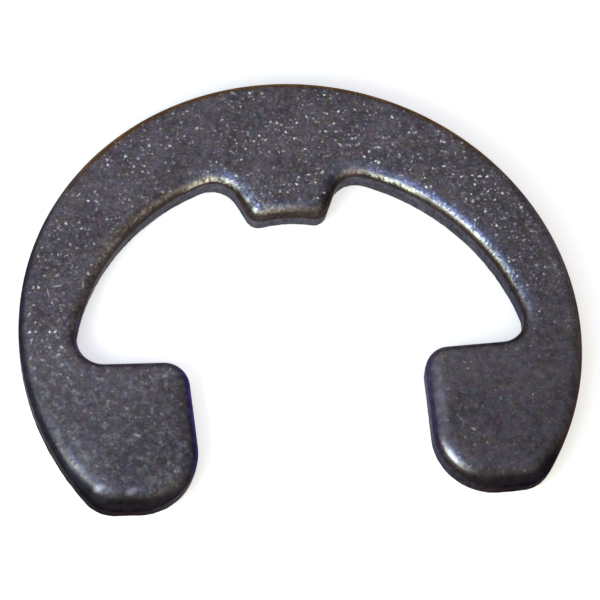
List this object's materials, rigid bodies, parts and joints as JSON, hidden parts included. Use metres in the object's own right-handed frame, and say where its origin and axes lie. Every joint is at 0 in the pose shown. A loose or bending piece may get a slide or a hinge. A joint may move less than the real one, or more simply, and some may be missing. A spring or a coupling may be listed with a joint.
{
  "type": "snap ring",
  "caption": "Flat E-shaped snap ring of spring steel with a centre prong and rounded end prongs, pushed sideways into a shaft groove to hold parts in place.",
  "frame": {"origin": "axis of the round rim, which is also the axis of the shaft groove, on the lower face that rests on a surface", "axes": "+X from one end prong to the other, +Y from the throat to the crown, +Z along the shaft, out of the face with the rolled edge"},
  "size_m": [0.0204, 0.0167, 0.0012],
  "materials": {
    "phosphated_spring_steel": "dark grey phosphate over tumbled spring steel"
  },
  "bodies": {
    "root": {"snap_ring": "phosphated_spring_steel"}
  },
  "joints": []
}
